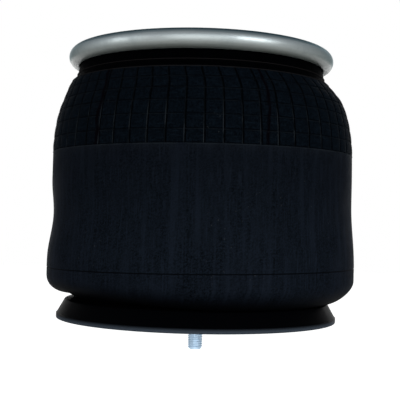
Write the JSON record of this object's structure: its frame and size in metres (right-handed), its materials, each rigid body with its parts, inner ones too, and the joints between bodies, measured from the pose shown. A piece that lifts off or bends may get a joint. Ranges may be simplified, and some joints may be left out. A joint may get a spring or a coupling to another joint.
{
  "type": "air suspension spring",
  "caption": "Rolling-lobe air spring: rubber bellows crimped to a steel bead plate, rolling over a moulded piston, with bump stop and mounting stud, standing collapsed.",
  "frame": {"origin": "centre of the piston's base face, where the mounting stud leaves it", "axes": "+Z along the spring's axis, from the piston up to the bead plate; +X towards the right-hand blind nut; -Y towards the air port, the side that faces the camera"},
  "size_m": [0.261, 0.261, 0.257],
  "materials": {
    "zinc_steel": "satin zinc plating with light scuffs",
    "wire_steel": "plain steel",
    "plated_nut": "zinc plated",
    "stud_zinc": "blue zinc plated",
    "ribbed_rubber": "satin, with moulded fine lines in a grid",
    "smooth_rubber": "satin, with faint streaks",
    "bumper_rubber": "matt",
    "seal_rubber": "matt",
    "black_nylon": "satin moulded glass-filled nylon"
  },
  "bodies": {
    "piston": {"piston": "black_nylon", "piston_core": "black_nylon", "bellows_inner": "smooth_rubber", "lower_bead_wire": "wire_steel", "spacer_tube": "wire_steel", "closure_plate": "zinc_steel", "bumper": "bumper_rubber", "bumper_insert": "wire_steel", "centre_stud": "stud_zinc", "stud_seal": "seal_rubber", "base_washer": "stud_zinc", "lock_washer": "stud_zinc", "base_nut": "stud_zinc"},
    "lobe": {"bellows_lobe": "smooth_rubber"},
    "sleeve": {"bellows_sleeve": "smooth_rubber"},
    "head": {"bead_plate": "zinc_steel", "upper_bead_wire": "wire_steel", "blind_nut_left": "plated_nut", "blind_nut_right": "plated_nut", "air_port_boss": "plated_nut", "bellows_neck": "ribbed_rubber"}
  },
  "joints": [
    {"name": "stroke", "type": "slide", "parent": "piston", "child": "sleeve", "axis": [0, 0, 1], "range_m": [0, 0.17], "deforming": ["bellows_sleeve"]},
    {"name": "lobe_roll", "type": "slide", "parent": "piston", "child": "lobe", "axis": [0, 0, 1], "range_m": [0, 0.085], "deforming": ["bellows_inner"]},
    {"name": "tilt", "type": "hinge", "parent": "sleeve", "child": "head", "pos_m": [0, 0, 0.1467], "axis": [0, 1, 0], "range_deg": [-6, 6], "stiffness_Nm_per_rad": 40, "deforming": ["bellows_neck"]}
  ],
  "couplings": [
    {"joint": "lobe_roll", "follows": "stroke", "ratio": 0.5}
  ]
}
